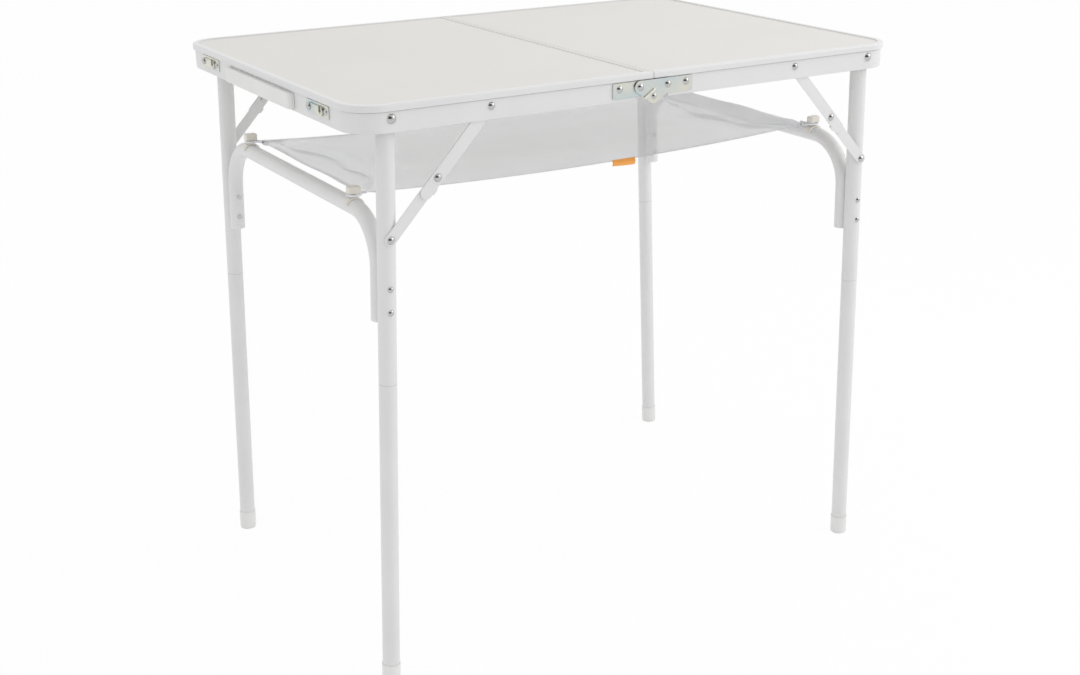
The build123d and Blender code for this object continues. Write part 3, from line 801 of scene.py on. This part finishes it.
class TABLE_OT_sew_tag(bpy.types.Operator):
    """Woven tag on the net's front edge"""

    bl_idname = "camping_table.sew_tag"
    bl_label = "Sew the tag"

    def execute(self, context):
        tape = woven("woven_tape", settings().finishes.tag, pitch=1.2)
        middle = (TAG_LOW + TAG_HIGH) / 2
        wide = TAG_HIGH.x - TAG_LOW.x
        drop = TAG_HIGH.z - TAG_LOW.z - TAG_SHORT
        part = bmesh.new()
        bmesh.ops.create_grid(part, x_segments=16, y_segments=12, size=0.5)
        for point in part.verts:
            across, down = point.co.x, 0.5 - point.co.y
            x = middle.x + across * wide * (1 - TAG_TAPER * down)
            curl = TAG_CURL * sin(CURL_TURN * across + CURL_START) * down
            bend = TAG_BULGE * sin(pi * down) + curl
            z = TAG_HIGH.z + TAG_TUCK - drop * down - TAG_SLANT * across * down
            point.co = Vector((x, -net_edge(x) - TAG_STAND - bend, z))
        bmesh.ops.recalc_face_normals(part, faces=part.faces)
        bmesh.ops.solidify(part, geom=part.faces[:], thickness=TAG_THICKNESS)
        piece = finished(part, "net_tag_tape", tape)
        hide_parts("net_tag")
        follow(piece, "right", False)
        return {"FINISHED"}


class TABLE_OT_set_studio(bpy.types.Operator):
    """Pale floor, soft light all round, one large lamp and the camera"""

    bl_idname = "camping_table.set_studio"
    bl_label = "Set the studio"

    def execute(self, context):
        self.floor()
        self.light(context.scene)
        self.camera(context.scene)
        context.scene.view_settings.view_transform = "Standard"
        return {"FINISHED"}

    def floor(self):
        part = bmesh.new()
        bmesh.ops.create_grid(part, x_segments=1, y_segments=1, size=FLOOR_REACH)
        material, tree, place = new_material("studio_paper")
        fibre = grain(tree, place, 300)
        tint = settings().studio.floor
        paper = add(tree, "ShaderNodeBsdfPrincipled", {
            "Base Color": two_tone(tree, fibre, shade(0.995, tint), shade(1.0, tint)),
            "Roughness": 0.9,
            "Specular IOR Level": 0.0,
        })
        # Seen directly, mirrored or through the net, most of the paper is plain white
        ray = add(tree, "ShaderNodeLightPath").outputs
        seen = larger(tree, ray["Is Camera Ray"], ray["Is Glossy Ray"])
        seen = larger(tree, seen, ray["Is Transmission Ray"])
        share = add(tree, "ShaderNodeMath", {0: seen, 1: PAPER_WHITE}, operation="MULTIPLY")
        white = add(tree, "ShaderNodeEmission", {"Color": (1, 1, 1, 1), "Strength": 1.0})
        both = add(tree, "ShaderNodeMixShader", {
            0: share.outputs[0], 1: paper.outputs["BSDF"], 2: white.outputs["Emission"],
        })
        add(tree, "ShaderNodeOutputMaterial", {"Surface": both.outputs["Shader"]})
        mesh = bpy.data.meshes.new("studio_floor")
        part.to_mesh(mesh)
        part.free()
        mesh.materials.append(material)
        sweep = bpy.data.objects.new("studio_floor", mesh)
        bpy.context.scene.collection.objects.link(sweep)

    def light(self, scene):
        studio = settings().studio
        world = bpy.data.worlds.new("studio_sky")
        world.use_nodes = True
        tree = world.node_tree
        tree.nodes.clear()
        towards = add(tree, "ShaderNodeTexCoord").outputs["Generated"]
        behind = Vector((-sin(studio.azimuth), -cos(studio.azimuth), PATCH_RISE)).normalized()
        facing = along_axis(tree, towards, behind)
        # The room behind the camera is dim, and bright metal mirrors it as a dark patch
        fall = {"interpolation_type": "SMOOTHSTEP"}
        dim = SOFT_DIM * studio.sky
        soft = mapped(tree, facing, SOFT_EDGE, PATCH_CORE, studio.sky, dim, **fall)
        mirrored = mapped(tree, facing, MIRROR_EDGE, PATCH_CORE, 1.0, MIRROR_DIM, **fall)
        ray = add(tree, "ShaderNodeLightPath").outputs
        lit = mixed_value(tree, ray["Is Glossy Ray"], soft, mirrored)
        seen = larger(tree, ray["Is Camera Ray"], ray["Is Transmission Ray"])
        strength = mixed_value(tree, seen, lit, 1.0)
        glow = add(tree, "ShaderNodeBackground", {"Color": (1, 1, 1, 1), "Strength": strength})
        add(tree, "ShaderNodeOutputWorld", {"Surface": glow.outputs["Background"]})
        scene.world = world
        lamp = bpy.data.lights.new("key_lamp", "AREA")
        lamp.shape = "DISK"
        lamp.size = LAMP_SIZE
        lamp.energy = studio.key
        holder = bpy.data.objects.new("key_lamp", lamp)
        holder.location = LAMP_PLACE
        holder.visible_camera = False
        holder.rotation_mode = "QUATERNION"
        aim = Vector(LAMP_AIM) - holder.location
        holder.rotation_quaternion = aim.to_track_quat("-Z", "Y")
        scene.collection.objects.link(holder)

    def camera(self, scene):
        studio = settings().studio
        data = bpy.data.cameras.new("photo_camera")
        data.sensor_width = SENSOR_WIDTH
        data.lens = SENSOR_WIDTH * studio.focal / PHOTO_WIDTH
        data.shift_x = (PHOTO_WIDTH / 2 - studio.centre_x) / PHOTO_WIDTH
        data.shift_y = (studio.centre_y - PHOTO_HEIGHT / 2) / PHOTO_WIDTH
        data.clip_end = 200
        camera = bpy.data.objects.new("photo_camera", data)
        flat = cos(studio.elevation)
        look = Vector((
            sin(studio.azimuth) * flat, cos(studio.azimuth) * flat, -sin(studio.elevation),
        ))
        roll = Quaternion((0, 0, 1), studio.roll)
        camera.rotation_mode = "QUATERNION"
        camera.rotation_quaternion = look.to_track_quat("-Z", "Y") @ roll
        camera.location = studio.place
        scene.collection.objects.link(camera)
        scene.camera = camera


OPERATORS = (
    TABLE_OT_finish_top,
    TABLE_OT_finish_fittings,
    TABLE_OT_set_brace_rivets,
    TABLE_OT_hang_net,
    TABLE_OT_sew_tag,
    TABLE_OT_set_studio,
)


class TABLE_PT_panel(bpy.types.Panel):
    """Buttons and settings of the camping table"""

    bl_idname = "TABLE_PT_panel"
    bl_label = "Camping table"
    bl_space_type = "VIEW_3D"
    bl_region_type = "UI"
    bl_category = "Table"

    def draw(self, context):
        for operator in OPERATORS:
            self.layout.operator(operator.bl_idname)
        for group in (settings().finishes, settings().rivets, settings().net, settings().studio):
            box = self.layout.box()
            for name in group.__annotations__:
                box.prop(group, name)


CLASSES = (
    TableFinishes,
    NetSizes,
    BraceRivetSizes,
    StudioSettings,
    TableSettings,
    *OPERATORS,
    TABLE_PT_panel,
)


def register():
    for entry in CLASSES:
        bpy.utils.register_class(entry)
    bpy.types.Scene.camping_table = PointerProperty(type=TableSettings)


def unregister():
    del bpy.types.Scene.camping_table
    for entry in reversed(CLASSES):
        bpy.utils.unregister_class(entry)


def main():
    register()
    for operator in OPERATORS:
        group, name = operator.bl_idname.split(".")
        getattr(getattr(bpy.ops, group), name)()


if __name__ == "__main__":
    main()
